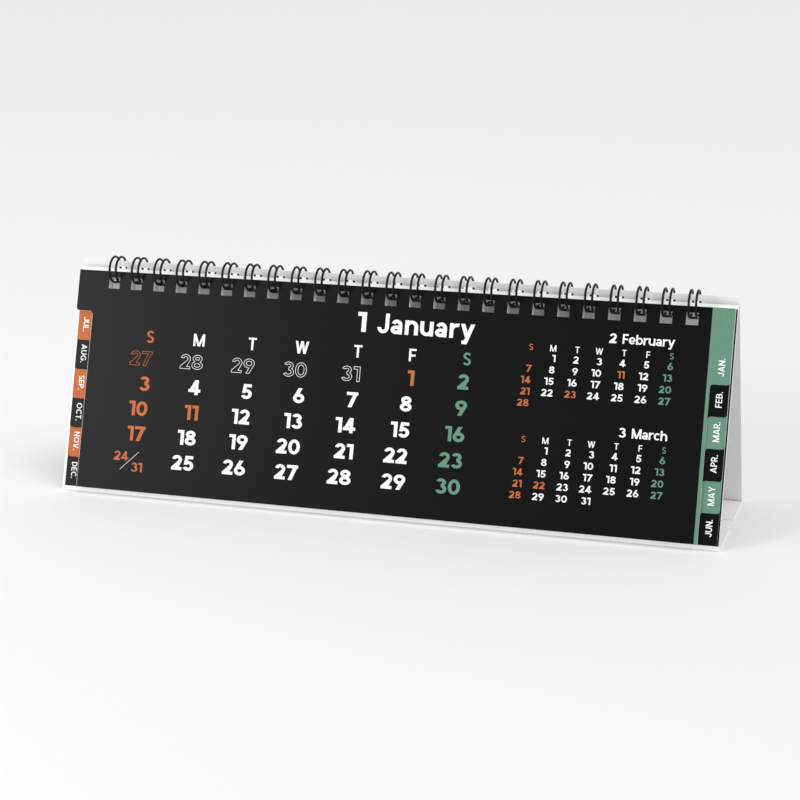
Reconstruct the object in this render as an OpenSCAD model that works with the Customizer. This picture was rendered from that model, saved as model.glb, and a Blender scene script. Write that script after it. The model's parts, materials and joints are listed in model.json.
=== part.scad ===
// Desk calendar: twelve index-cut month sheets on a twin-loop wire, carried by a folded card tent.
// X runs along the wire, Z is up and the sheets face -Y. The origin is under the middle of the tent.

/* [Sheets] */
// Width of a month sheet
sheet_w = 230.4; // [216:0.1:300]
// Height of a month sheet, along its slope
sheet_h = 76.2; // [74:0.1:120]
// Thickness of one sheet
sheet_t = 0.22; // [0.15:0.01:0.24]
// Air between two sheets that lie on each other
sheet_air = 0.03; // [0.02:0.01:0.05]
// Width of the strip cut away to bare the tabs behind
tab_w = 6.2; // [4:0.1:10]
// Height of one index tab
tab_h = 10.3; // [6:0.1:10.5]
// How far the second half-year's sheets hang to the right of the others
rear_shift = 0.5; // [0:0.1:1]
// Radius of the tabs' corners
tab_r = 1; // [0.3:0.1:2]
// Radius of the sheets' own corners
page_r = 0.2; // [0.1:0.1:2]

/* [Punching] */
// Number of holes, and of double loops
loop_count = 25; // [5:1:25]
// Distance from one hole to the next, three to the inch
loop_pitch = 8.467; // [8:0.001:8.6]
// Side of a square hole
hole_w = 4; // [3.8:0.1:4.6]
// Paper left between a sheet's top edge and its holes
hole_margin = 2.1; // [2:0.1:3.2]
// Card left between the rear wall's top edge and its holes
back_margin = 2.2; // [2:0.1:3.2]

/* [Wire] */
// Diameter of the coated wire
wire_d = 0.8; // [0.6:0.05:0.9]
// Radius of a loop, to the middle of the wire
loop_r = 4.5; // [4.4:0.1:5.2]
// Distance between the two wires of one loop
wire_gap = 2.375; // [2:0.005:2.5]
// Distance from a hole's upper edge to the middle of the wire in it
wire_seat = 1.1; // [1:0.01:1.8]
// Bend radius where a link runs into a loop
link_bend = 0.8; // [0.6:0.1:1]

/* [Stand] */
// Lean of each wall from upright, in degrees
lean = 18.5; // [14:0.1:24]
// Thickness of the card
card_t = 0.45; // [0.3:0.05:0.5]
// Card that stands out beyond the sheets at each side
side_margin = 0.5; // [0:0.1:2]
// Card that shows above the sheets
top_band = 1.4; // [0.5:0.1:2]
// Card that shows below the sheets
bottom_lip = 1.5; // [0.8:0.1:4]
// How far the front sheet's face stands before the wire's axis
stack_front = 1.91; // [1.6:0.01:2.4]
// Play between the rear wall's top edge and the wire
edge_clear = 0.28; // [0.2:0.01:0.4]
// Direction of the rear wall's top edge, up from the wall's normal at the wire's axis
edge_angle = 26; // [20:0.1:30]
// Play of a base half at its crease
crease_gap = 0.3; // [0.2:0.05:0.5]
// Gap left at the base's middle crease, which clears the base halves as the stand folds flat
base_slot = 10.5; // [9.5:0.1:16]

/* [Hidden] */
MONTHS = ["january", "february", "march", "april", "may", "june",
    "july", "august", "september", "october", "november", "december"];
SHEETS = [for (m = MONTHS) str("sheet_", m)];

// Half of the months have their tab at the right edge, the other half at the left
tabs_a_side = len(MONTHS) / 2;
sheet_step = sheet_t + sheet_air;
stack_t = len(MONTHS) * sheet_step;
tabs_top = sheet_h - tabs_a_side * tab_h;

// Heights along the front slope, from the foot of the wire's axis, and depths behind that axis
sheet_top = hole_margin + wire_seat - sqrt(pow(loop_r, 2) - pow(stack_front, 2));
hole_s = sheet_top - hole_margin - hole_w / 2;
front_top = sheet_top + top_band;
front_bottom = sheet_top - sheet_h - bottom_lip;
front_depth = stack_t - stack_front;
front_len = front_top - front_bottom;

// The rear wall's outer top edge lies just inside the loops
edge_r = loop_r - wire_d / 2 - edge_clear;
back_depth = edge_r * cos(edge_angle) - card_t;
back_top = edge_r * sin(edge_angle);

// Height of the wire's axis that sets both walls on the floor
axis_z = -front_bottom * cos(lean) + (front_depth + card_t) * sin(lean);
back_bottom = -(axis_z + back_depth * sin(lean)) / cos(lean);
back_len = back_top - back_bottom;

// Place of the wire's axis that centres the calendar from front to back
front_reach = (sheet_h - sheet_top) * sin(lean) + stack_front * cos(lean);
back_reach = -back_bottom * sin(lean) + (back_depth + card_t) * cos(lean);
axis_y = (front_reach - back_reach) / 2;

// The creases of the base, on the inner faces of the walls
panel_w = sheet_w + 2 * side_margin;
crease_z = card_t + crease_gap;
crease_drop = axis_z - crease_z;
front_crease = axis_y - crease_drop * tan(lean) + (front_depth + card_t) / cos(lean);
back_crease = axis_y + crease_drop * tan(lean) + back_depth / cos(lean);
base_half = (back_crease - front_crease - base_slot) / 2 - crease_gap;

// The wire's seam, inside the tent: angles round the axis, from the rear over the top to the front
root_angle = -76;
tip_angle = 267;
arc_steps = 12;
tip_steps = 5;
bend_steps = 2;
wire_sides = 5;
corner_steps = 4;

// Frame of the front slope: Y up the slope, Z out of the sheets' faces, origin at the wire's axis
module front_frame() {
    translate([0, axis_y, axis_z]) rotate([90 - lean, 0, 0]) children();
}

// Frame of the rear slope: Y up the slope, Z into the tent, origin at the wire's axis
module back_frame() {
    translate([0, axis_y, axis_z]) rotate([90 + lean, 0, 0]) children();
}

function unit(v) = v / norm(v);

// An outline with each corner rounded, given counter-clockwise or clockwise, with a radius for each point
function rounded(points, radii) = [
    for (i = [0 : len(points) - 1])
        let (
            p = points[i],
            r = radii[i],
            a = unit(points[(i + len(points) - 1) % len(points)] - p),
            b = unit(points[(i + 1) % len(points)] - p),
            centre = p + r * (a + b)
        )
        for (k = [0 : corner_steps])
            let (t = 90 * k / corner_steps)
            centre - r * (b * cos(t) + a * sin(t))
];

// Row of square holes, middle at height s
module hole_row(s) {
    for (k = [0 : loop_count - 1])
        translate([loop_x(k), s]) square(hole_w, center = true);
}

function loop_x(k) = (k - (loop_count - 1) / 2) * loop_pitch;

// A wall of the stand, from height low to height high on its slope
module punched_panel(low, high, hole_middle) {
    linear_extrude(card_t) difference() {
        translate([-panel_w / 2, low]) square([panel_w, high - low]);
        hole_row(hole_middle);
    }
}

module front_panel() {
    color("whitesmoke") front_frame() translate([0, 0, -front_depth - card_t])
        punched_panel(front_bottom, front_top, hole_s);
}

module back_panel() {
    color("gainsboro") back_frame() translate([0, 0, -back_depth - card_t])
        punched_panel(back_bottom, back_top, back_top - back_margin - hole_w / 2);
}

module base_front() {
    color("white") translate([-panel_w / 2, front_crease + crease_gap, 0])
        cube([panel_w, base_half, card_t]);
}

module base_back() {
    color("white") translate([-panel_w / 2, back_crease - crease_gap - base_half, 0])
        cube([panel_w, base_half, card_t]);
}

// Outline of month m's sheet: the edges are full down to the month's own tab, and cut back below it
function left_drop(m) = tabs_top + max(0, m - tabs_a_side + 1) * tab_h;
function right_drop(m) = tabs_top + min(m + 1, tabs_a_side) * tab_h;
function side_points(x, inner_x, drop) = drop > sheet_h - tab_r
    ? [[x, sheet_top - sheet_h]]
    : [[x, sheet_top - drop], [inner_x, sheet_top - drop], [inner_x, sheet_top - sheet_h]];
function reversed(v) = [for (i = [len(v) - 1 : -1 : 0]) v[i]];
function shift(m) = m < tabs_a_side ? 0 : rear_shift;
function sheet_outline(m) = concat(
    [[shift(m) + sheet_w / 2, sheet_top], [shift(m) - sheet_w / 2, sheet_top]],
    side_points(shift(m) - sheet_w / 2, tab_w - sheet_w / 2, left_drop(m)),
    reversed(side_points(shift(m) + sheet_w / 2, sheet_w / 2 - tab_w, right_drop(m)))
);
function corner_radii(points) = [for (p = points)
    p[1] == sheet_top || p[1] == sheet_top - sheet_h ? page_r : tab_r];

module month_sheet(m) {
    color(m % 2 == 0 ? "#2b2b2b" : "#3a3a3a") front_frame()
        translate([0, 0, stack_front - m * sheet_step - sheet_t])
        linear_extrude(sheet_t) difference() {
            polygon(rounded(sheet_outline(m), corner_radii(sheet_outline(m))));
            hole_row(hole_s);
        }
}

// The wire lies on a cylinder round its axis. A point is [x, angle], and arcs are measured on that cylinder.
function arc_deg(length) = length / loop_r * 180 / PI;
tip_deg = arc_deg(wire_gap / 2);
bend_deg = arc_deg(link_bend);
loop_start = root_angle + bend_deg;
loop_end = tip_angle - tip_deg;
function loop_arc(x) = [for (i = [0 : arc_steps]) [x, loop_start + (loop_end - loop_start) * i / arc_steps]];
function loop_tip(x) = [for (i = [1 : tip_steps - 1])
    let (t = 180 * i / tip_steps) [x - wire_gap / 2 * cos(t), loop_end + tip_deg * sin(t)]];
function link_bend_points(x, side) = [for (i = [1 : bend_steps])
    let (t = 90 * i / bend_steps)
    [x + side * link_bend * (1 - cos(t)), loop_start - bend_deg * sin(t)]];
function double_loop(k) = let (x = loop_x(k), left = x - wire_gap / 2, right = x + wire_gap / 2) concat(
    k == 0 ? [] : reversed(link_bend_points(left, -1)),
    loop_arc(left), loop_tip(x), reversed(loop_arc(right)),
    k == loop_count - 1 ? [] : link_bend_points(right, 1)
);
wire_path = [for (k = [0 : loop_count - 1]) each double_loop(k)];

// Least gap of the wire to itself, between points of two neighbouring loops that no bend joins
two_loops = concat(double_loop(0), double_loop(1));
bend_reach = 4;
least_gap = min([for (i = [0 : len(two_loops) - 1], j = [0 : len(two_loops) - 1])
    if (j > i + bend_reach) norm(wire_point(two_loops[i]) - wire_point(two_loops[j])) - wire_d]);
echo(least_gap = least_gap);

function outward(p) = [0, cos(p[1]), sin(p[1])];
function wire_point(p) = [p[0], axis_y, axis_z] + loop_r * outward(p);
function wire_way(i) = unit(
    wire_point(wire_path[min(i + 1, len(wire_path) - 1)]) - wire_point(wire_path[max(i - 1, 0)]));
wire_skin = [for (i = [0 : len(wire_path) - 1])
    let (n = outward(wire_path[i]), b = unit(cross(wire_way(i), n)))
    for (j = [0 : wire_sides - 1])
        let (t = 360 * j / wire_sides)
        wire_point(wire_path[i]) + wire_d / 2 * (n * cos(t) + b * sin(t))];
function skin(i, j) = i * wire_sides + j % wire_sides;
wire_last = len(wire_path) - 1;
wire_faces = concat(
    [for (i = [0 : wire_last - 1], j = [0 : wire_sides - 1])
        each [[skin(i, j), skin(i, j + 1), skin(i + 1, j)], [skin(i, j + 1), skin(i + 1, j + 1), skin(i + 1, j)]]],
    [for (j = [1 : wire_sides - 2]) [skin(0, 0), skin(0, j + 1), skin(0, j)]],
    [for (j = [1 : wire_sides - 2]) [skin(wire_last, 0), skin(wire_last, j), skin(wire_last, j + 1)]]
);

module binding_wire() {
    color("black") polyhedron(wire_skin, wire_faces);
}

front_panel();
back_panel();
base_front();
base_back();
binding_wire();
for (m = [0 : len(MONTHS) - 1]) month_sheet(m);
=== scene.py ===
import json
import math
from functools import lru_cache
from typing import NamedTuple

import bpy
from mathutils import Matrix, Vector
from mathutils.geometry import delaunay_2d_cdt


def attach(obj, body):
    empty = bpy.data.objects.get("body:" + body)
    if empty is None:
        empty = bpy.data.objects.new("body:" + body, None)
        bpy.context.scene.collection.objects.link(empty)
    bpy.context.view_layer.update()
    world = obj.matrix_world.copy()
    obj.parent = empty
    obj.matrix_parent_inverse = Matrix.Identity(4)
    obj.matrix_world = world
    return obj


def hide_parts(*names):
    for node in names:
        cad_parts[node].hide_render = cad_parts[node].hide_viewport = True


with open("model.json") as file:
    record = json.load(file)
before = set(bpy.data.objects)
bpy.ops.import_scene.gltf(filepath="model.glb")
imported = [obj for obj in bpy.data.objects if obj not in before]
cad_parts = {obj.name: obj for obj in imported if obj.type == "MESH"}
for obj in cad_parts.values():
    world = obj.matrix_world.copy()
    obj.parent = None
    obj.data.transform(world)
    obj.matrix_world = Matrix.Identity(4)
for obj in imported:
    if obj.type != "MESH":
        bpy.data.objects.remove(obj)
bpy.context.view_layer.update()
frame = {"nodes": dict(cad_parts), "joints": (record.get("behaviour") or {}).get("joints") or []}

# Sizes of the part, as its source has them, in millimetres, and the wire's angles in degrees
MM = 0.001
LEAN = math.radians(18.5)
SHEET_W = 230.4
SHEET_H = 76.2
SHEET_STEP = 0.25
TAB_W = 6.2
TAB_H = 10.3
TABS_A_SIDE = 6
REAR_SHIFT = 0.5
TAB_R = 1.0
PAGE_R = 0.2
HOLE_MARGIN = 2.1
WIRE_SEAT = 1.1
STACK_FRONT = 1.91
LOOP_COUNT = 25
LOOP_PITCH = 8.467
LOOP_R = 4.5
WIRE_D = 0.8
WIRE_GAP = 2.375
LINK_BEND = 0.8
ROOT_ANGLE = -76
TIP_ANGLE = 267

# Edges of the sheets and of the rows of tabs, up the slope from the wire's axis
SHEET_TOP = HOLE_MARGIN + WIRE_SEAT - math.sqrt(LOOP_R**2 - STACK_FRONT**2)
SHEET_BOTTOM = SHEET_TOP - SHEET_H
TABS_TOP = SHEET_TOP - (SHEET_H - TABS_A_SIDE * TAB_H)


def axes(x, y, z):
    """The turn that takes the world's axes to these."""
    return Matrix((x, y, z)).transposed().to_4x4()


# The page's own frame: x along the wire, s up the slope and n out of the page, in millimetres
AXIS = Vector(next(j for j in frame["joints"] if j["name"] == "january_turn")["pos_m"])
ALONG = Vector((1, 0, 0))
UP_SLOPE = Vector((0, math.sin(LEAN), math.cos(LEAN)))
OUT = Vector((0, -math.cos(LEAN), math.sin(LEAN)))
PAGE = Matrix.Translation(AXIS) @ axes(ALONG, UP_SLOPE, OUT) @ Matrix.Scale(MM, 4)

# How far the print goes into the sheet and stands proud of it, in millimetres
INK_DEPTH = 0.004
INK_HEIGHT = 0.012
BAND_HEIGHT = 0.006

# How finely curves are divided
CURVE_STEPS = 5
SMALL_STEPS = 3
CORNER_STEPS = 4
WIRE_SIDES = 12
ARC_STEPS = 44
TIP_STEPS = 12
BEND_STEPS = 6

# Lettering: the height of a capital in millimetres, stems and gaps in shares of that height
LETTER_GAP = 0.1
DAY_GAP = 0.08
OUTLINE = 0.03


class Style(NamedTuple):
    height: float
    weight: float
    gap: float = LETTER_GAP
    steps: int = CURVE_STEPS
    outlined: bool = False


HEADING = Style(height=6.7, weight=0.2)
WEEKDAY = Style(height=4.25, weight=0.18)
DAY = Style(height=5.1, weight=0.235, gap=DAY_GAP)
OTHER_DAY = Style(height=5.1, weight=0.21, gap=DAY_GAP, outlined=True)
SPLIT_DAY = Style(height=3.2, weight=0.2, gap=DAY_GAP)
MINI_HEADING = Style(height=3.2, weight=0.18, gap=0.055, steps=SMALL_STEPS)
MINI_WEEKDAY = Style(height=2.1, weight=0.16, steps=SMALL_STEPS)
MINI_DAY = Style(height=2.35, weight=0.21, steps=SMALL_STEPS)
TAB_TEXT = Style(height=2.1, weight=0.17, gap=0.12, steps=SMALL_STEPS)

# Heading: the number before the name is bolder by a factor, and apart by a share of the height
HEADING_RIGHT = 29.9
HEADING_BASE = SHEET_TOP - 15.4
NUMERAL_BOLDER = 1.2
NUMERAL_GAP = 0.6

# Grid of the month: columns by their right edge, rows by their baseline
COLUMN_RIGHT = -84.75
COLUMN_STEP = 19.04
WEEKDAY_BASE = SHEET_TOP - 24.2
ROW_BASE = SHEET_TOP - 32.3
ROW_STEP = 8.75
GRID_ROWS = 5

# A cell with two days and a slash between them, from the cell's right edge and baseline
SPLIT_LEFT = 5.5
SPLIT_RISE = 1.6
SPLIT_FALL = 2.0
SLASH_FOOT = (-8.4, -1.5)
SLASH_HEAD = (-1.9, 4.9)
SLASH_W = 0.2

# The two small months, the second one lower by the drop
MINI_RIGHT = 50.2
MINI_STEP = 7.75
MINI_HEADING_BASE = SHEET_TOP - 13.6
MINI_WEEKDAY_BASE = SHEET_TOP - 17.65
MINI_ROW_BASE = SHEET_TOP - 21.1
MINI_ROW_STEP = 3.78
MINI_DROP = 30.4

# Tabs: their bands, their labels and the bare edge of the paper on the other side
BAND_INNER = 107.9
BAND_INSET = 0.02
TAB_LETTERS = 3
TAB_TEXT_X = 112.2
TAB_TEXT_RISE = 0.4
EDGE_LINE = 0.07

# The months, in a common year that begins on a Friday, and the days off that the photograph colours
MONTHS = {
    "January": 31, "February": 28, "March": 31, "April": 30, "May": 31, "June": 30,
    "July": 31, "August": 31, "September": 30, "October": 31, "November": 30, "December": 31,
}
NAMES = list(MONTHS)
LENGTHS = list(MONTHS.values())
WEEKDAYS = "SMTWTFS"
WEEK = len(WEEKDAYS)
SUNDAY = 0
SATURDAY = 6
FIRST_WEEKDAY = 5
DAYS_OFF = {0: (1, 11), 1: (11, 23), 2: (22,)}

# Colours, linear
ORANGE = (0.53, 0.146, 0.046)
GREEN = (0.132, 0.278, 0.202)
WHITE = (0.93, 0.93, 0.92)
BLACK = (0.002, 0.002, 0.0021)
CARD = (0.88, 0.88, 0.87)
WIRE_DARK = (0.003, 0.003, 0.003)
WIRE_LIGHT = (0.007, 0.007, 0.007)
FLOOR = (0.89, 0.89, 0.89)

# How far the grain of a surface shades its colour: factors for dark and light, and the ramp's stops
INK_SHADES = (0.86, 1.04)
CARD_SHADES = (0.97, 1.0)
PAPER_SHADES = (0.9, 1.0)
BLACK_SHADES = (0.6, 1.6)
RAMP_STOPS = (0.3, 0.7)


class Look(NamedTuple):
    """A surface's shine, the noise that shades its colour, and its tooth, another noise as bump."""

    roughness: float
    specular: float
    shade_scale: float
    shade_detail: float
    tooth_scale: float
    tooth_detail: float
    tooth_strength: float
    tooth_depth: float


# Looks of the surfaces, with scales per metre and depths in metres
INK_LOOK = Look(
    roughness=0.5, specular=0.12, shade_scale=2600, shade_detail=3,
    tooth_scale=4200, tooth_detail=2, tooth_strength=0.15, tooth_depth=0.00002,
)
CARD_LOOK = Look(
    roughness=0.62, specular=0.5, shade_scale=900, shade_detail=6,
    tooth_scale=2600, tooth_detail=3, tooth_strength=0.2, tooth_depth=0.00003,
)
PAGE_LOOK = Look(
    roughness=0.34, specular=0.11, shade_scale=3000, shade_detail=4,
    tooth_scale=3400, tooth_detail=3, tooth_strength=0.5, tooth_depth=0.00006,
)
WIRE_LOOK = Look(
    roughness=0.34, specular=0.18, shade_scale=1200, shade_detail=3,
    tooth_scale=3000, tooth_detail=2, tooth_strength=0.12, tooth_depth=0.00002,
)
PAPER_ROUGHNESS = 0.8
FLOOR_ROUGHNESS = 0.9
FLOOR_SPECULAR = 0.1

# Studio, in metres and watts: an even world, a broad sun from above and a softbox at the left
FLOOR_SIZE = 40.0
WORLD_COLOUR = (1, 1, 1, 1)
WORLD_STRENGTH = 0.62
SUN_FROM = (0.4, -0.25, 0.88)
SUN_ENERGY = 1.15
SUN_ANGLE = math.radians(50)
SOFTBOX_PLACE = (-0.80, -0.92, 0.40)
SOFTBOX_TARGET = (-0.05, 0, 0.04)
SOFTBOX_ENERGY = 6.2
SOFTBOX_SIZE = 0.42

# Camera, fitted to the photograph
FOCAL_PIXELS = 2020
FRAME_PIXELS = 800
SENSOR = 36.0
YAW = math.radians(17.39)
PITCH = math.radians(15.58)
ROLL = math.radians(-0.41)
DISTANCE = 0.6886
TARGET = Vector((0.0025, -0.0033, 0.0359))
CLIP_START = 0.01
CLIP_END = 50

# Letters, in units of the capital height: the x-height, its middle and the descender
XH = 0.73
MID = XH / 2
DROP = 0.27

# Letters, as factors: level strokes and diagonals to stems, and an arch's rise to its half width
FLAT = 0.86
DIAGONAL = 1.08
ARCH_RISE = 0.95


def bar(x0, y0, x1, y1):
    """An upright rectangle."""
    return [(x0, y0), (x1, y0), (x1, y1), (x0, y1)]


def slant(x0, y0, x1, y1, w):
    """A sloping stroke with level ends, w wide."""
    return [(x0, y0), (x0 + w, y0), (x1 + w, y1), (x1, y1)]


class Pen:
    """Draws characters with stems of width w and level strokes of height t."""

    def __init__(self, w, steps):
        self.w = w
        self.t = FLAT * w
        self.steps = steps

    def arc(self, cx, cy, rx, ry, start, end):
        """A curved stroke inside an ellipse, between two angles in degrees."""
        count = max(2, round(self.steps * (end - start) / 90))
        angles = [math.radians(start + (end - start) * i / count) for i in range(count + 1)]
        inner_rx, inner_ry = rx - self.w, ry - self.t
        outer = [(cx + rx * math.cos(a), cy + ry * math.sin(a)) for a in angles]
        inner = [(cx + inner_rx * math.cos(a), cy + inner_ry * math.sin(a)) for a in angles]
        return outer + inner[::-1]

    def ring(self, cx, cy, rx, ry):
        """A whole ellipse, in two strokes."""
        return [self.arc(cx, cy, rx, ry, 0, 180), self.arc(cx, cy, rx, ry, 180, 360)]

    def stem(self, x=0.0, low=0.0, high=1.0):
        """An upright stroke whose left edge is at x."""
        return bar(x, low, x + self.w, high)

    def level(self, x0, x1, y):
        """A level stroke whose lower edge is at y."""
        return bar(x0, y, x1, y + self.t)

    def bowl(self, straight, width, low, high):
        """The right half of a B, D or P."""
        radius = (high - low) / 2
        return [
            self.level(0, straight, low),
            self.level(0, straight, high - self.t),
            self.arc(straight, low + radius, width - straight, radius, -90, 90),
        ]

    def arch(self, x, width):
        """The arch and right leg of an n, from the stem at x."""
        half = width / 2
        rise = half * ARCH_RISE
        return [
            self.arc(x + half, XH - rise, half, rise, 0, 180),
            self.stem(x + width - self.w, 0, XH - rise),
        ]

    def cross(self, low, high, foot, width):
        """A V whose foot is at the x of foot."""
        w = self.w * DIAGONAL
        return [slant(foot - w / 2, low, x, high, w) for x in (0, width - w)]

    def draw(self, char):
        """A character's width and its strokes."""
        w, t = self.w, self.t
        top = 1 - t
        match char:
            case "0":
                return 0.82, self.ring(0.41, 0.5, 0.41, 0.5)
            case "1":
                return 0.46, [self.stem(0.46 - w), bar(0, 0.8, 0.46 - w, 1)]
            case "2":
                inner = (0.385 + (0.36 - w) * 0.94, 0.69 - (0.31 - t) * 0.34)
                slope = [(0, 0), (0.2 + w, 0), (0.723, 0.584), inner, (0, 0.16)]
                curve = self.arc(0.385, 0.69, 0.36, 0.31, -20, 170)
                return 0.77, [curve, slope, self.level(0, 0.75, 0)]
            case "3":
                upper = self.arc(0.35, 0.73, 0.34, 0.27, -90, 160)
                return 0.75, [upper, self.arc(0.37, 0.3, 0.38, 0.3, -160, 90)]
            case "4":
                slope = slant(0, 0.18, 0.43, 1, w * 1.13)
                return 0.86, [self.stem(0.46), self.level(0, 0.86, 0.18), slope]
            case "5":
                stem = slant(0.06, 0.4, 0.14, 1, w)
                curve = self.arc(0.36, 0.33, 0.39, 0.33, -155, 130)
                return 0.76, [self.level(0.14, 0.7, top), stem, curve]
            case "6":
                stem = slant(0.03, 0.42, 0.34, 1, w * 1.2)
                return 0.79, [*self.ring(0.395, 0.32, 0.395, 0.32), stem]
            case "7":
                slope = slant(0.12, 0, 0.78 - w * 1.15, 1, w * 1.15)
                return 0.78, [self.level(0, 0.78, top), slope]
            case "8":
                return 0.80, [*self.ring(0.4, 0.74, 0.35, 0.26), *self.ring(0.4, 0.29, 0.4, 0.29)]
            case "9":
                width, strokes = self.draw("6")
                return width, [[(width - x, 1 - y) for x, y in stroke] for stroke in strokes]
            case ".":
                return w, [bar(0, 0, w, w)]
            case "A":
                legs = [slant(x, 0, 0.43 - w / 2, 1, w) for x in (0, 0.86 - w)]
                return 0.86, [*legs, self.level(0.2, 0.66, 0.2)]
            case "B":
                upper = self.bowl(0.36, 0.66, 0.46, 1)
                return 0.70, [self.stem(), *upper, *self.bowl(0.38, 0.7, 0, 0.46 + t)]
            case "C":
                return 0.80, [self.arc(0.46, 0.5, 0.46, 0.5, 45, 315)]
            case "D":
                return 0.78, [self.stem(), *self.bowl(0.33, 0.78, 0, 1)]
            case "E":
                arms = [(0.6, 0), (0.56, 0.42), (0.6, top)]
                return 0.60, [self.stem(), *(self.level(0, x, y) for x, y in arms)]
            case "F":
                return 0.58, [self.stem(), self.level(0, 0.54, 0.4), self.level(0, 0.58, top)]
            case "G":
                curve = self.arc(0.48, 0.5, 0.48, 0.5, 45, 345)
                return 0.92, [curve, bar(0.5, 0.36, 0.93, 0.36 + t)]
            case "J":
                return 0.60, [self.stem(0.6 - w, 0.3), self.arc(0.3, 0.3, 0.3, 0.3, 180, 360)]
            case "L":
                return 0.54, [self.stem(), self.level(0, 0.54, 0)]
            case "M":
                return 0.98, [self.stem(), self.stem(0.98 - w), *self.cross(0, 1, 0.49, 0.98)]
            case "N":
                slope = slant(0.76 - w * 1.1, 0, 0, 1, w * 1.1)
                return 0.76, [self.stem(), self.stem(0.76 - w), slope]
            case "O":
                return 0.96, self.ring(0.48, 0.5, 0.48, 0.5)
            case "P":
                return 0.66, [self.stem(), *self.bowl(0.34, 0.66, 0.38, 1)]
            case "R":
                leg = slant(0.7 - w * 1.15, 0, 0.24, 0.44, w * 1.15)
                return 0.70, [self.stem(), *self.bowl(0.35, 0.66, 0.38, 1), leg]
            case "S":
                upper = self.arc(0.32, 0.73, 0.31, 0.27, 25, 270)
                return 0.64, [upper, self.arc(0.32, 0.28, 0.32, 0.28, -155, 90)]
            case "T":
                return 0.68, [self.level(0, 0.68, top), self.stem(0.34 - w / 2)]
            case "U":
                sides = [self.stem(0, 0.34), self.stem(0.74 - w, 0.34)]
                return 0.74, [*sides, self.arc(0.37, 0.34, 0.37, 0.34, 180, 360)]
            case "V":
                return 0.84, self.cross(0, 1, 0.42, 0.84)
            case "W":
                left = self.cross(0, 1, 0.33, 0.66)
                right = [[(x + 0.66 - w, y) for x, y in stroke] for stroke in left]
                return 1.32 - w, left + right
            case "Y":
                return 0.80, [self.stem(0.4 - w / 2, 0, 0.45), *self.cross(0.4, 1, 0.4, 0.8)]
            case "a":
                back = self.stem(0.6 - w, 0, 0.46)
                crown = self.arc(0.31, 0.45, 0.29, 0.28, 0, 160)
                return 0.64, [*self.ring(0.28, 0.215, 0.28, 0.215), back, crown]
            case "b":
                return 0.71, [self.stem(), *self.ring(0.36, MID, 0.35, MID)]
            case "c":
                return 0.62, [self.arc(0.35, MID, 0.35, MID, 45, 315)]
            case "e":
                curve = self.arc(0.345, MID, 0.345, MID, 0, 320)
                return 0.69, [curve, bar(0.1, 0.29, 0.69, 0.29 + t * 0.7)]
            case "g":
                back = self.stem(0.68 - w, 0.03, XH)
                tail = self.arc(0.34, 0.03, 0.34, 0.3, 200, 360)
                return 0.68, [*self.ring(0.34, MID, 0.34, MID), back, tail]
            case "h":
                return 0.69, [self.stem(), *self.arch(0, 0.69)]
            case "i":
                return w, [self.stem(0, 0, XH), bar(0, 0.84, w, 1)]
            case "l":
                return w, [self.stem()]
            case "m":
                arches = [*self.arch(0, 0.6), *self.arch(0.6 - w, 0.6)]
                return 1.2 - w, [self.stem(0, 0, XH), *arches]
            case "n":
                return 0.69, [self.stem(0, 0, XH), *self.arch(0, 0.69)]
            case "o":
                return 0.72, self.ring(0.36, MID, 0.36, MID)
            case "p":
                return 0.71, [self.stem(0, -DROP, XH), *self.ring(0.36, MID, 0.35, MID)]
            case "r":
                return 0.46, [self.stem(0, 0, XH), self.arc(0.4, 0.37, 0.4, 0.36, 75, 180)]
            case "s":
                upper = self.arc(0.3, 0.53, 0.28, 0.2, 20, 270)
                return 0.59, [upper, self.arc(0.3, 0.21, 0.29, 0.21, -160, 90)]
            case "t":
                foot = self.arc(0.34, 0.2, 0.24, 0.2, 180, 280)
                return 0.44, [self.stem(0.1, 0.2, 0.95), self.level(0, 0.42, XH - t), foot]
            case "u":
                width, strokes = self.draw("n")
                return width, [[(width - x, XH - y) for x, y in stroke] for stroke in strokes]
            case "v":
                return 0.70, self.cross(0, XH, 0.35, 0.7)
            case "y":
                short = slant(0.24, 0.1, 0, XH, w * DIAGONAL)
                long = slant(0.36 - w * 1.05, -DROP, 0.73 - w * DIAGONAL, XH, w * DIAGONAL)
                return 0.73, [short, long, self.level(0.1, 0.3, -DROP)]
        raise ValueError(f"no strokes for {char!r}")


# Flat shapes: points, faces and rim, with the inside on the rim's left
INSIDE_ONLY = 1
MERGE_DISTANCE = 1e-5
SHARPEST_CORNER = 0.35


def joined(strokes):
    """The strokes as one flat shape, in triangles."""
    points, loops = [], []
    for stroke in strokes:
        area = sum(a[0] * b[1] - b[0] * a[1] for a, b in zip(stroke, stroke[1:] + stroke[:1]))
        loops.append(list(range(len(points), len(points) + len(stroke))))
        points += [Vector(p) for p in (stroke if area > 0 else stroke[::-1])]
    found, _, triangles, _, _, owners = delaunay_2d_cdt(
        points, [], loops, INSIDE_ONLY, MERGE_DISTANCE
    )
    triangles = [triangle for triangle, owner in zip(triangles, owners) if owner]
    edges = {(tri[i], tri[i - 2]): None for tri in triangles for i in range(3)}
    return found, triangles, [edge for edge in edges if edge[::-1] not in edges]


def hollow(shape, line):
    """Only the rim of a shape, as a band of that width."""
    points, _, rim = shape
    following = dict(rim)
    before = {b: a for a, b in rim}
    kept = list(following)
    number = {old: new for new, old in enumerate(kept)}
    inner = []
    for i in kept:
        first = (points[i] - points[before[i]]).normalized().orthogonal()
        second = (points[following[i]] - points[i]).normalized().orthogonal()
        reach = line * (first + second) / max(1 + first.dot(second), SHARPEST_CORNER)
        inner.append(points[i] + reach)
    count = len(kept)
    pairs = [(number[a], number[b]) for a, b in rim]
    faces = [(a, b, b + count, a + count) for a, b in pairs]
    edges = pairs + [(b + count, a + count) for a, b in pairs]
    return [points[i] for i in kept] + inner, faces, edges


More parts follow.
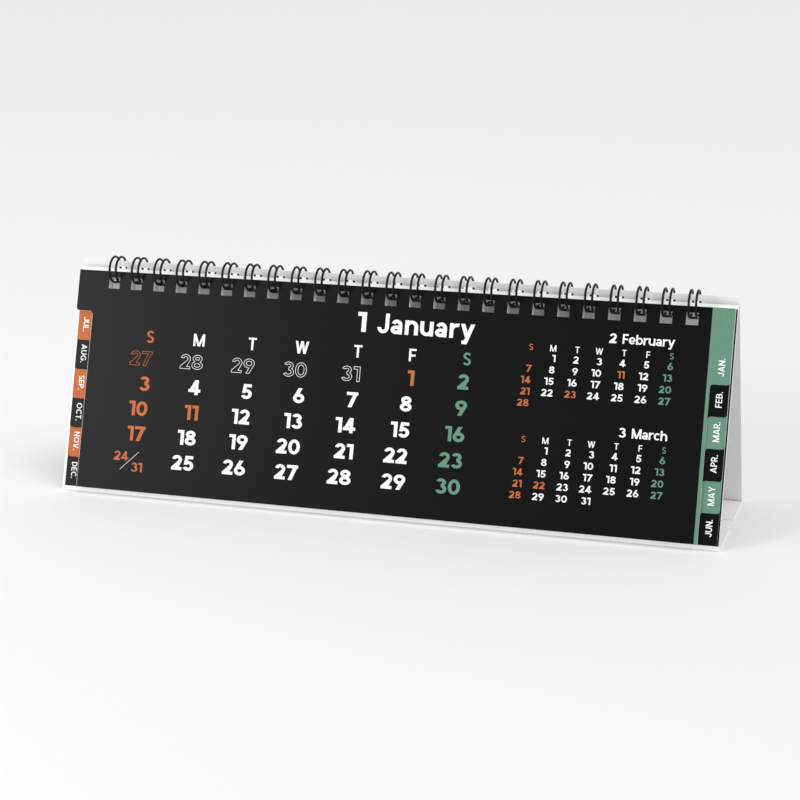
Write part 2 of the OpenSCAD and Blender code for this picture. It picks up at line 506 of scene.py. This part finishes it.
@lru_cache(maxsize=None)
def glyph(char, style):
    """A character's width and its flat shape, in units of the capital height."""
    width, strokes = Pen(style.weight, style.steps).draw(char)
    shape = joined(strokes)
    return width, hollow(shape, OUTLINE) if style.outlined else shape


class Ink:
    """One colour of print on one sheet, raised by the thickness of the ink."""

    def __init__(self, month):
        self.face = STACK_FRONT - month * SHEET_STEP
        self.points = []
        self.faces = []

    def add(self, shape, height=INK_HEIGHT):
        """Adds a flat shape in the page's frame, as a thin solid."""
        flat, faces, rim = shape
        first = len(self.points)
        last = first + len(flat)
        for n in (self.face - INK_DEPTH, self.face + height):
            self.points += [(x, s, n) for x, s in flat]
        self.faces += [[last + i for i in face] for face in faces]
        self.faces += [[first + i for i in face[::-1]] for face in faces]
        self.faces += [[first + a, first + b, last + b, last + a] for a, b in rim]

    def write(self, text, style, x, s, align=1.0, turn=0):
        """Writes text with its baseline through (x, s), which is at the share align of its length."""
        glyphs = [glyph(char, style) for char in text]
        length = sum(width for width, _ in glyphs) + style.gap * (len(text) - 1)
        c = math.cos(math.radians(turn)) * style.height
        d = math.sin(math.radians(turn)) * style.height
        start = -align * length
        for width, (points, faces, rim) in glyphs:
            places = [(px + start, py) for px, py in points]
            spots = [(x + px * c - py * d, s + px * d + py * c) for px, py in places]
            self.add((spots, faces, rim))
            start += width + style.gap
        return length * style.height


# Materials
def principled(name, roughness, specular):
    """A new material and its shader."""
    material = bpy.data.materials.new(name)
    material.use_nodes = True
    shader = material.node_tree.nodes["Principled BSDF"]
    shader.inputs["Roughness"].default_value = roughness
    shader.inputs["Specular IOR Level"].default_value = specular
    return material, shader


def feed(material, output, node, socket):
    material.node_tree.links.new(output, node.inputs[socket])


def add_node(material, kind, inputs=(), **settings):
    """A node of that kind. Inputs are pairs of a socket and a value or an output to link."""
    node = material.node_tree.nodes.new(kind)
    for key, value in settings.items():
        setattr(node, key, value)
    for socket, value in inputs:
        if isinstance(value, bpy.types.NodeSocket):
            feed(material, value, node, socket)
        else:
            node.inputs[socket].default_value = value
    return node


def grain(material, scale, detail):
    """A noise that stays with the piece."""
    place = add_node(material, "ShaderNodeTexCoord").outputs["Object"]
    inputs = [("Vector", place), ("Scale", scale), ("Detail", detail)]
    return add_node(material, "ShaderNodeTexNoise", inputs).outputs["Fac"]


def shades(material, factor, dark, light):
    """A colour from dark to light, as the factor goes from the ramp's first stop to its second."""
    ramp = add_node(material, "ShaderNodeValToRGB", [("Fac", factor)])
    for stop, place, colour in zip(ramp.color_ramp.elements, RAMP_STOPS, (dark, light)):
        stop.position = place
        stop.color = (*colour, 1)
    return ramp.outputs["Color"]


def scaled(colour, factors):
    """The colour times each of the factors."""
    return [tuple(c * factor for c in colour) for factor in factors]


def add_tooth(material, shader, look):
    """The fine unevenness of paper or lacquer, as bump."""
    height = grain(material, look.tooth_scale, look.tooth_detail)
    inputs = [("Height", height), ("Strength", look.tooth_strength), ("Distance", look.tooth_depth)]
    bump = add_node(material, "ShaderNodeBump", inputs)
    feed(material, bump.outputs["Normal"], shader, "Normal")


def surface(name, look, dark, light):
    """A material that its grain shades from dark to light."""
    material, shader = principled(name, look.roughness, look.specular)
    shade = shades(material, grain(material, look.shade_scale, look.shade_detail), dark, light)
    feed(material, shade, shader, "Base Color")
    add_tooth(material, shader, look)
    return material


# Sockets of a colour mix node, by number because the other kinds of mix have the same names
MIX_A = 6
MIX_B = 7
MIX_RESULT = 2

# A face of a sheet is printed where the cosine of its angle to the page is more than this
PRINTED_FROM = 0.5


def sheet_material():
    """Black print on the face of a sheet, white paper on its edges and back."""
    look = PAGE_LOOK
    material, shader = principled("page_print", look.roughness, look.specular)
    normal = add_node(material, "ShaderNodeTexCoord").outputs["Normal"]
    facing = add_node(
        material, "ShaderNodeVectorMath", [(0, normal), (1, OUT)], operation="DOT_PRODUCT"
    ).outputs["Value"]
    printed = add_node(
        material, "ShaderNodeMath", [(0, facing), (1, PRINTED_FROM)], operation="GREATER_THAN"
    ).outputs[0]
    fibres = grain(material, look.shade_scale, look.shade_detail)
    black = shades(material, fibres, *scaled(BLACK, BLACK_SHADES))
    paper = shades(material, fibres, *scaled(WHITE, PAPER_SHADES))
    mixed = [("Factor", printed), (MIX_A, paper), (MIX_B, black)]
    colour = add_node(material, "ShaderNodeMix", mixed, data_type="RGBA").outputs[MIX_RESULT]
    ends = [("Value", printed), ("To Min", PAPER_ROUGHNESS), ("To Max", look.roughness)]
    rough = add_node(material, "ShaderNodeMapRange", ends).outputs["Result"]
    feed(material, colour, shader, "Base Color")
    feed(material, rough, shader, "Roughness")
    add_tooth(material, shader, look)
    return material


INKS = {
    colour: surface(f"ink_{colour}", INK_LOOK, *scaled(tone, INK_SHADES))
    for colour, tone in (("white", WHITE), ("orange", ORANGE), ("green", GREEN))
}


# Pieces
def mesh_piece(name, points, faces, material, body, smooth=False):
    mesh = bpy.data.meshes.new(name)
    mesh.from_pydata(points, [], faces)
    mesh.materials.append(material)
    mesh.polygons.foreach_set("use_smooth", [smooth] * len(mesh.polygons))
    piece = bpy.data.objects.new(name, mesh)
    bpy.context.scene.collection.objects.link(piece)
    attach(piece, body)
    return piece


# Print of a month sheet
def first_column(month):
    """The column of a month's first day."""
    return (FIRST_WEEKDAY + sum(LENGTHS[:month])) % WEEK


def column_colour(column):
    return {SUNDAY: "orange", SATURDAY: "green"}.get(column, "white")


def day_colour(month, day):
    if day in DAYS_OFF.get(month, ()):
        return "orange"
    return column_colour((first_column(month) + day - 1) % WEEK)


def write_day(inks, month, day, style, right, base):
    inks[day_colour(month, day)].write(str(day), style, right, base)


def write_weekdays(inks, style, right, step, base):
    for column, letter in enumerate(WEEKDAYS):
        inks[column_colour(column)].write(letter, style, right + column * step, base)


def write_heading(ink, month, style, right, base):
    """A month's number, which is the bolder, and its name."""
    length = ink.write(NAMES[month], style, right, base)
    numeral = style._replace(weight=style.weight * NUMERAL_BOLDER, gap=LETTER_GAP)
    ink.write(str(month + 1), numeral, right - length - NUMERAL_GAP * style.height, base)


def write_split(inks, month, day, right, base):
    """Two days that share the last row's cell, either side of a slash."""
    write_day(inks, month, day, SPLIT_DAY, right - SPLIT_LEFT, base + SPLIT_RISE)
    write_day(inks, month, day + WEEK, SPLIT_DAY, right, base - SPLIT_FALL)
    ends = [place for x, s in (SLASH_FOOT, SLASH_HEAD) for place in (right + x, base + s)]
    inks["white"].add(joined([slant(*ends, SLASH_W)]))


def write_grid(inks, month):
    """The month's days, and in outline its neighbours' days in the first and last weeks."""
    write_weekdays(inks, WEEKDAY, COLUMN_RIGHT, COLUMN_STEP, WEEKDAY_BASE)
    length = LENGTHS[month]
    for cell in range(GRID_ROWS * WEEK):
        row, column = divmod(cell, WEEK)
        right = COLUMN_RIGHT + column * COLUMN_STEP
        base = ROW_BASE - row * ROW_STEP
        day = cell - first_column(month) + 1
        if day < 1 or day > length:
            other = day + LENGTHS[month - 1] if day < 1 else day - length
            tint = "orange" if column == SUNDAY else "white"
            inks[tint].write(str(other), OTHER_DAY, right, base)
        elif day + WEEK <= length and row == GRID_ROWS - 1:
            write_split(inks, month, day, right, base)
        else:
            write_day(inks, month, day, DAY, right, base)


def write_mini(inks, month, drop):
    """One of the two small months at the right of a page."""
    last_right = MINI_RIGHT + (WEEK - 1) * MINI_STEP
    write_heading(inks["white"], month, MINI_HEADING, last_right, MINI_HEADING_BASE - drop)
    write_weekdays(inks, MINI_WEEKDAY, MINI_RIGHT, MINI_STEP, MINI_WEEKDAY_BASE - drop)
    for day in range(1, LENGTHS[month] + 1):
        row, column = divmod(first_column(month) + day - 1, WEEK)
        base = MINI_ROW_BASE - row * MINI_ROW_STEP - drop
        write_day(inks, month, day, MINI_DAY, MINI_RIGHT + column * MINI_STEP, base)


def rounded(points, radii):
    """An outline of right angles whose corners have those radii."""
    out = []
    for i, (p, r) in enumerate(zip(points, radii)):
        p = Vector(p)
        a = (Vector(points[i - 1]) - p).normalized()
        b = (Vector(points[(i + 1) % len(points)]) - p).normalized()
        for k in range(CORNER_STEPS + 1) if r else (0,):
            turn = math.pi / 2 * k / CORNER_STEPS
            out.append(tuple(p + r * (a + b) - r * (b * math.cos(turn) + a * math.sin(turn))))
    return out


def tab_side(month):
    """The side of a month's tab, and how far its sheet is set in there."""
    return (1, 0) if month < TABS_A_SIDE else (-1, REAR_SHIFT)


def tab_band(month):
    """The coloured band down a page's tab side, and the strip below it that the next tabs leave."""
    side, shift = tab_side(month)
    edge = SHEET_W / 2 - shift - BAND_INSET
    step_x = SHEET_W / 2 - TAB_W - BAND_INSET
    tab_low = TABS_TOP - (month % TABS_A_SIDE + 1) * TAB_H + BAND_INSET
    top, low = SHEET_TOP - BAND_INSET, SHEET_BOTTOM + BAND_INSET
    corners = [
        (BAND_INNER, top), (BAND_INNER, low), (step_x, low),
        (step_x, tab_low), (edge, tab_low), (edge, top),
    ]
    radii = [0, 0, PAGE_R, TAB_R, TAB_R, PAGE_R]
    return [(side * x, s) for x, s in rounded(corners, radii)]


def cut_edge():
    """The bare paper that shows along a sheet's cut-back left side."""
    left = TAB_W - SHEET_W / 2 + BAND_INSET
    return bar(left, SHEET_BOTTOM + PAGE_R, left + EDGE_LINE, TABS_TOP - TAB_R)


def write_tab(ink, month):
    """The short name on a tab, which reads up the right side and down the left."""
    side, shift = tab_side(month)
    middle = TABS_TOP - (month % TABS_A_SIDE + 0.5) * TAB_H + TAB_TEXT_RISE
    short = NAMES[month][:TAB_LETTERS]
    text = short.upper() + ("." if short != NAMES[month] else "")
    x = side * (TAB_TEXT_X + TAB_TEXT.height / 2) + shift
    ink.write(text, TAB_TEXT, x, middle, align=0.5, turn=90 * side)


def print_sheet(month):
    """All the print of one sheet, one piece to a colour. Every second tab has a band."""
    name = NAMES[month].lower()
    inks = {colour: Ink(month) for colour in INKS}
    write_heading(inks["white"], month, HEADING, HEADING_RIGHT, HEADING_BASE)
    write_grid(inks, month)
    write_mini(inks, (month + 1) % len(NAMES), 0)
    write_mini(inks, (month + 2) % len(NAMES), MINI_DROP)
    write_tab(inks["white"], month)
    if month < TABS_A_SIDE:
        inks["white"].add(joined([cut_edge()]))
    if month % 2 == 0:
        band = "green" if month < TABS_A_SIDE else "orange"
        inks[band].add(joined([tab_band(month)]), BAND_HEIGHT)
    for colour, ink in inks.items():
        points = [PAGE @ Vector(p) for p in ink.points]
        piece, body, slot = f"print_{name}_{colour}", f"sheet_{name}", f"ink_{colour}"
        mesh_piece(piece, points, ink.faces, INKS[colour], body)


# Wire
def wire_path():
    """Middle of the wire as (x, angle) on the cylinder that its loops lie on."""
    tip_deg = math.degrees(WIRE_GAP / 2 / LOOP_R)
    bend_deg = math.degrees(LINK_BEND / LOOP_R)
    low, high = ROOT_ANGLE + bend_deg, TIP_ANGLE - tip_deg
    bend = [math.pi / 2 * i / BEND_STEPS for i in range(1, BEND_STEPS + 1)]
    link = [(LINK_BEND * (1 - math.cos(a)), low - bend_deg * math.sin(a)) for a in bend]
    rise = [low + (high - low) * i / ARC_STEPS for i in range(ARC_STEPS + 1)]
    tip = [math.pi * i / TIP_STEPS for i in range(1, TIP_STEPS)]
    path = []
    for k in range(LOOP_COUNT):
        x = (k - (LOOP_COUNT - 1) / 2) * LOOP_PITCH
        left, right = x - WIRE_GAP / 2, x + WIRE_GAP / 2
        if k > 0:
            path += [(left - away, angle) for away, angle in link[::-1]]
        path += [(left, angle) for angle in rise]
        path += [(x - WIRE_GAP / 2 * math.cos(a), high + tip_deg * math.sin(a)) for a in tip]
        path += [(right, angle) for angle in rise[::-1]]
        if k < LOOP_COUNT - 1:
            path += [(right + away, angle) for away, angle in link]
    return path


def build_wire():
    """The wire as one round tube with capped ends."""
    path = wire_path()
    turns = [math.radians(angle) for _, angle in path]
    outward = [Vector((0, math.cos(a), math.sin(a))) for a in turns]
    middle = [Vector((x, 0, 0)) + LOOP_R * n for (x, _), n in zip(path, outward)]
    points = []
    for i, (p, n) in enumerate(zip(middle, outward)):
        way = middle[min(i + 1, len(middle) - 1)] - middle[max(i - 1, 0)]
        across = way.cross(n).normalized()
        for j in range(WIRE_SIDES):
            turn = 2 * math.pi * j / WIRE_SIDES
            spoke = WIRE_D / 2 * (n * math.cos(turn) + across * math.sin(turn))
            points.append(AXIS + MM * (p + spoke))
    cap = range(WIRE_SIDES)
    faces = [list(cap)[::-1], [len(points) - WIRE_SIDES + j for j in cap]]
    for first in range(0, len(points) - WIRE_SIDES, WIRE_SIDES):
        for j in range(WIRE_SIDES):
            a, b = first + j, first + (j + 1) % WIRE_SIDES
            faces.append([a, b, b + WIRE_SIDES, a + WIRE_SIDES])
    nylon = surface("wire_nylon", WIRE_LOOK, WIRE_DARK, WIRE_LIGHT)
    wire = mesh_piece("wire_loops", points, faces, nylon, "stand_front", smooth=True)
    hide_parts("binding_wire")


def dress_nodes():
    """Gives the CAD nodes that stay their paper and card."""
    page = sheet_material()
    card = surface("card_white", CARD_LOOK, *scaled(CARD, CARD_SHADES))
    for name, node in frame["nodes"].items():
        if name != "binding_wire":
            node.data.materials.clear()
            node.data.materials.append(page if name.startswith("sheet_") else card)


# Studio
def build_studio():
    half = FLOOR_SIZE / 2
    mesh = bpy.data.meshes.new("floor")
    mesh.from_pydata([(x, y, 0) for x, y in bar(-half, -half, half, half)], [], [(0, 1, 2, 3)])
    floor = bpy.data.objects.new("floor", mesh)
    bpy.context.scene.collection.objects.link(floor)
    material, shader = principled("floor_paper", FLOOR_ROUGHNESS, FLOOR_SPECULAR)
    shader.inputs["Base Color"].default_value = (*FLOOR, 1)
    mesh.materials.append(material)
    world = bpy.data.worlds.new("studio")
    world.use_nodes = True
    background = world.node_tree.nodes["Background"]
    background.inputs["Color"].default_value = WORLD_COLOUR
    background.inputs["Strength"].default_value = WORLD_STRENGTH
    bpy.context.scene.world = world


def add_light(name, kind, place, target, energy, **settings):
    light = bpy.data.lights.new(name, kind)
    light.energy = energy
    for key, value in settings.items():
        setattr(light, key, value)
    lamp = bpy.data.objects.new(name, light)
    lamp.location = place
    lamp.rotation_euler = (Vector(target) - Vector(place)).to_track_quat("-Z", "Y").to_euler()
    bpy.context.scene.collection.objects.link(lamp)


def build_lights():
    add_light("overhead", "SUN", SUN_FROM, (0, 0, 0), SUN_ENERGY, angle=SUN_ANGLE)
    settings = {"shape": "SQUARE", "size": SOFTBOX_SIZE}
    add_light("softbox", "AREA", SOFTBOX_PLACE, SOFTBOX_TARGET, SOFTBOX_ENERGY, **settings)


def build_camera():
    camera = bpy.data.cameras.new("camera")
    camera.sensor_width = SENSOR
    camera.lens = FOCAL_PIXELS / FRAME_PIXELS * SENSOR
    camera.clip_start = CLIP_START
    camera.clip_end = CLIP_END
    eye = bpy.data.objects.new("camera", camera)
    reach = math.cos(PITCH)
    back = Vector((math.sin(YAW) * reach, -math.cos(YAW) * reach, math.sin(PITCH)))
    level = Vector((0, 0, 1)).cross(back).normalized()
    upright = back.cross(level)
    right = math.cos(ROLL) * level + math.sin(ROLL) * upright
    up = math.cos(ROLL) * upright - math.sin(ROLL) * level
    eye.matrix_world = Matrix.Translation(TARGET + DISTANCE * back) @ axes(right, up, back)
    bpy.context.scene.collection.objects.link(eye)
    bpy.context.scene.camera = eye
    bpy.context.scene.view_settings.view_transform = "Standard"


dress_nodes()
build_wire()
for month in range(len(NAMES)):
    print_sheet(month)
build_studio()
build_lights()
build_camera()
